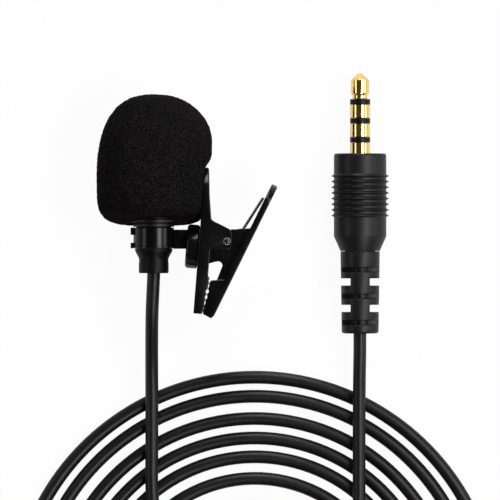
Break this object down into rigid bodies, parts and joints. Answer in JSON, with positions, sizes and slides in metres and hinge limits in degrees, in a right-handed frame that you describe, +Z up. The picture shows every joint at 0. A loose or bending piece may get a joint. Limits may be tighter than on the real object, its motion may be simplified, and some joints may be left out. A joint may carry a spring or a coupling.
{
  "type": "lavalier microphone",
  "caption": "Clip-on lavalier microphone with a foam windscreen, a turning spring clip, a thin coiled cord and a straight 3.5 mm audio plug.",
  "frame": {"origin": "On the table, under the middle of the box round the microphone, its foam and its clip, without the cord and the plug", "axes": "+Z up from the table that it lies on, +Y along the microphone towards the foam's dome, +X towards the clip's lever and the plug"},
  "size_m": [0.0855, 0.1351, 0.0197],
  "materials": {
    "foam": "black open-cell foam",
    "satin_black": "satin black",
    "gloss_black": "gloss black",
    "insulator": "moulded black",
    "rubber": "soft black",
    "cord_jacket": "smooth black jacket",
    "gilt": "gilt, polished",
    "steel": "bright",
    "can": "drawn can",
    "perforated_cap": "dull",
    "felt": "black felt",
    "board": "green board",
    "red_wire": "red insulation",
    "copper": "bare copper strands"
  },
  "bodies": {
    "microphone": {"housing": "satin_black", "head_grille": "perforated_cap", "dust_felt": "felt", "electret_capsule": "can", "capsule_gasket": "rubber", "capsule_board": "board", "signal_wire": "red_wire", "ground_wire": "copper", "strain_boot": "rubber", "mic_lead": "cord_jacket", "cord_coil": "cord_jacket", "plug_lead": "cord_jacket", "plug_relief": "satin_black", "plug_handle": "satin_black", "plug_tip": "gilt", "plug_ring_1": "gilt", "plug_ring_2": "gilt", "plug_sleeve": "gilt", "plug_insulator_1": "insulator", "plug_insulator_2": "insulator", "plug_insulator_3": "insulator", "plug_core": "insulator"},
    "holder": {"holder_ring": "gloss_black", "swivel_rivet": "steel"},
    "windscreen": {"foam_windscreen": "foam"},
    "clip": {"clip_plate": "gloss_black", "hinge_pin": "steel", "clip_spring": "steel"},
    "lever": {"clip_lever": "gloss_black"}
  },
  "joints": [
    {"name": "holder_turn", "type": "hinge", "parent": "microphone", "child": "holder", "pos_m": [-0.00568, -0.00543, 0.00985], "axis": [0, 1, 0], "continuous": true},
    {"name": "windscreen_slide", "type": "slide", "parent": "holder", "child": "windscreen", "axis": [0, 1, 0], "range_m": [0, 0.012]},
    {"name": "clip_swivel", "type": "hinge", "parent": "holder", "child": "clip", "pos_m": [0.00206, -0.00697, 0.00985], "axis": [0.9969, -0.0785, 0], "continuous": true},
    {"name": "lever_hinge", "type": "hinge", "parent": "clip", "child": "lever", "pos_m": [0.00696, -0.006, 0.00985], "axis": [0, 0, 1], "range_deg": [0, 45], "stiffness_Nm_per_rad": 0.02, "springref_deg": -68.75, "deforming": ["clip_spring"]}
  ]
}
